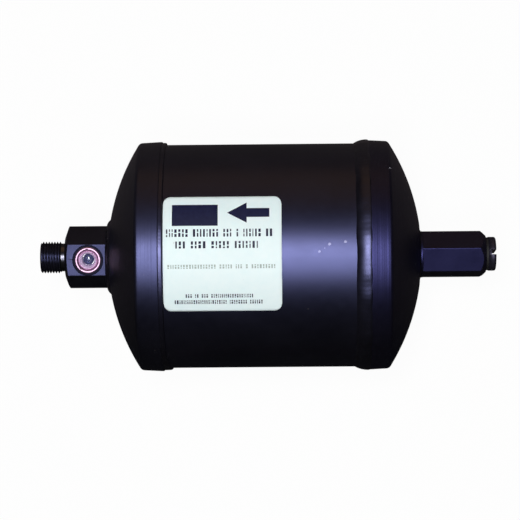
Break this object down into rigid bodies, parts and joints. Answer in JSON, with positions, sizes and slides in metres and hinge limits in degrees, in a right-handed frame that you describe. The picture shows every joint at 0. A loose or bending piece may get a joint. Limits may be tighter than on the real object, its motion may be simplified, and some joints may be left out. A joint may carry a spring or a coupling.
{
  "type": "filter drier",
  "caption": "Horizontal receiver and filter drier: painted steel vessel with dished ends, sight glass, male threaded outlet and plugged female inlet.",
  "frame": {"origin": "middle of the shell, on the vessel's axis, where a bracket band holds it", "axes": "+X along the vessel's axis towards the inlet, +Z out of the label and the sight glass, which is the side that faces up when mounted"},
  "size_m": [0.2295, 0.1164, 0.1164],
  "materials": {
    "vessel_paint": "satin black paint",
    "fitting_paint": "satin black paint",
    "plated_ring": "bright plated, turned",
    "sight_glass": "polished",
    "gasket_rubber": "moulded",
    "plug_plastic": "moulded, dull",
    "bare_steel": "bare",
    "felt": "needled felt",
    "desiccant": "packed beads",
    "copper_tube": "drawn",
    "label_film": "coated, semi-gloss"
  },
  "bodies": {
    "vessel": {"shell": "vessel_paint", "outlet_head": "vessel_paint", "inlet_head": "vessel_paint", "outlet_weld_bead": "vessel_paint", "inlet_weld_bead": "vessel_paint", "outlet_fitting": "fitting_paint", "inlet_fitting": "fitting_paint", "outlet_fitting_weld": "vessel_paint", "inlet_fitting_weld": "vessel_paint", "sight_glass_retainer": "plated_ring", "sight_glass_lens": "sight_glass", "sight_glass_gasket": "gasket_rubber", "outlet_stop_ring": "bare_steel", "outlet_perforated_plate": "bare_steel", "inlet_perforated_plate": "bare_steel", "outlet_filter_pad": "felt", "inlet_filter_pad": "felt", "desiccant_bed": "desiccant", "bed_spring": "bare_steel", "pickup_tube": "copper_tube", "pickup_strainer": "bare_steel", "label": "label_film"},
    "seal_ring": {"plug_seal": "gasket_rubber"},
    "plug": {"inlet_plug": "plug_plastic"}
  },
  "joints": [
    {"name": "seal_travel", "type": "slide", "parent": "vessel", "child": "seal_ring", "axis": [1, 0, 0], "range_m": [0, 0.0095]},
    {"name": "plug_turn", "type": "hinge", "parent": "seal_ring", "child": "plug", "pos_m": [0.11153, 0, 0], "axis": [1, 0, 0], "range_deg": [0, 2430]}
  ],
  "couplings": [
    {"joint": "plug_turn", "follows": "seal_travel", "rad_per_m": 4452.6}
  ]
}
